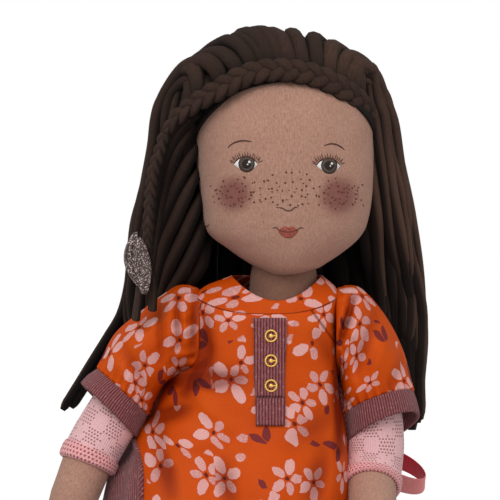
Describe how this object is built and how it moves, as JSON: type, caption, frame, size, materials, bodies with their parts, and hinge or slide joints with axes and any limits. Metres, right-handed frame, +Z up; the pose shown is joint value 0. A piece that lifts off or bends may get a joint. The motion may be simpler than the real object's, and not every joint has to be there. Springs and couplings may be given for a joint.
{
  "type": "rag doll",
  "caption": "Seated cloth rag doll with strand hair and a braid, a knit and print blouse with cuffed sleeves, leggings and small shoes; its neck, shoulders, elbows, hips and knees turn.",
  "frame": {"origin": "centre of the flat of the shorts that the doll sits on, at floor level", "axes": "+Z up; the doll faces -Y and its legs point along -Y; +X is towards its own left arm"},
  "size_m": [0.2012, 0.2665, 0.2717],
  "materials": {
    "skin_jersey": "matte knit",
    "hair_jersey": "matte knit",
    "printed_cotton": "smooth print",
    "plum_knit": "matte knit",
    "pink_knit": "openwork knit",
    "brass": "polished",
    "ribbon": "satin",
    "glitter_felt": "glitter",
    "shoe_suede": "suede",
    "shoe_sole": "matte"
  },
  "bodies": {
    "torso": {"trunk": "skin_jersey", "knit_shorts": "plum_knit", "blouse_front": "printed_cotton", "blouse_back": "plum_knit", "side_panel_right": "plum_knit", "side_panel_left": "plum_knit", "neck_band": "printed_cotton", "piping_right": "plum_knit", "piping_left": "plum_knit", "placket": "plum_knit", "button_1": "brass", "button_2": "brass", "button_3": "brass", "bow_knot": "ribbon", "bow_loop_right": "ribbon", "bow_loop_left": "ribbon", "bow_tail_right": "ribbon", "bow_tail_left": "ribbon"},
    "neck": {"neck": "skin_jersey"},
    "head": {"head": "skin_jersey", "headband_braid": "hair_jersey", "hair_crown": "hair_jersey", "hair_back": "hair_jersey", "hair_left": "hair_jersey", "hair_right": "hair_jersey", "loose_strands": "hair_jersey"},
    "braid": {"side_braid": "hair_jersey", "leaf_bow": "glitter_felt", "braid_tail_1": "hair_jersey", "braid_tail_2": "hair_jersey"},
    "upper_arm_right": {"upper_arm_right": "skin_jersey", "sleeve_right": "printed_cotton", "cuff_right": "plum_knit"},
    "forearm_right": {"forearm_right": "skin_jersey", "undersleeve_right": "pink_knit", "undersleeve_hem_right": "pink_knit"},
    "thigh_right": {"thigh_right": "skin_jersey", "legging_thigh_right": "pink_knit"},
    "shin_right": {"shin_foot_right": "skin_jersey", "legging_shin_right": "pink_knit", "legging_hem_right": "pink_knit", "shoe_upper_right": "shoe_suede", "shoe_strap_right": "shoe_suede", "shoe_sole_right": "shoe_sole"},
    "upper_arm_left": {"upper_arm_left": "skin_jersey", "sleeve_left": "printed_cotton", "cuff_left": "plum_knit"},
    "forearm_left": {"forearm_left": "skin_jersey", "undersleeve_left": "pink_knit", "undersleeve_hem_left": "pink_knit"},
    "thigh_left": {"thigh_left": "skin_jersey", "legging_thigh_left": "pink_knit"},
    "shin_left": {"shin_foot_left": "skin_jersey", "legging_shin_left": "pink_knit", "legging_hem_left": "pink_knit", "shoe_upper_left": "shoe_suede", "shoe_strap_left": "shoe_suede", "shoe_sole_left": "shoe_sole"}
  },
  "joints": [
    {"name": "neck_nod", "type": "hinge", "parent": "torso", "child": "neck", "pos_m": [0.008, -0.014, 0.141], "axis": [1, 0, 0], "range_deg": [-4, 15], "deforming": ["hair_back", "hair_left", "hair_right", "loose_strands"]},
    {"name": "head_turn", "type": "hinge", "parent": "neck", "child": "head", "pos_m": [0.008, -0.014, 0.15], "axis": [0, 0, 1], "range_deg": [-30, 30], "deforming": ["hair_back", "hair_left", "hair_right", "loose_strands"]},
    {"name": "braid_swing", "type": "hinge", "parent": "head", "child": "braid", "pos_m": [-0.0512, -0.036, 0.2182], "axis": [-1, 0, 0], "range_deg": [0, 25]},
    {"name": "shoulder_right", "type": "hinge", "parent": "torso", "child": "upper_arm_right", "pos_m": [-0.046, -0.016, 0.119], "axis": [-1, 0, 0], "range_deg": [-10, 35]},
    {"name": "elbow_right", "type": "hinge", "parent": "upper_arm_right", "child": "forearm_right", "pos_m": [-0.08442, -0.02046, 0.06801], "axis": [-0.7986, 0, 0.6018], "range_deg": [-20, 58]},
    {"name": "shoulder_left", "type": "hinge", "parent": "torso", "child": "upper_arm_left", "pos_m": [0.046, -0.016, 0.119], "axis": [-1, 0, 0], "range_deg": [-10, 100]},
    {"name": "elbow_left", "type": "hinge", "parent": "upper_arm_left", "child": "forearm_left", "pos_m": [0.05818, -0.02046, 0.05633], "axis": [-0.9816, 0, -0.1908], "range_deg": [-43, 30]},
    {"name": "hip_right", "type": "hinge", "parent": "torso", "child": "thigh_right", "pos_m": [-0.0195, -0.026, 0.0155], "axis": [0.9986, -0.0523, 0], "range_deg": [0, 90]},
    {"name": "knee_right", "type": "hinge", "parent": "thigh_right", "child": "shin_right", "pos_m": [-0.02431, -0.11787, 0.0155], "axis": [0.9986, -0.0523, 0], "range_deg": [0, 90]},
    {"name": "hip_left", "type": "hinge", "parent": "torso", "child": "thigh_left", "pos_m": [0.0195, -0.026, 0.0155], "axis": [0.9986, 0.0523, 0], "range_deg": [0, 90]},
    {"name": "knee_left", "type": "hinge", "parent": "thigh_left", "child": "shin_left", "pos_m": [0.02431, -0.11787, 0.0155], "axis": [0.9986, 0.0523, 0], "range_deg": [0, 90]}
  ]
}
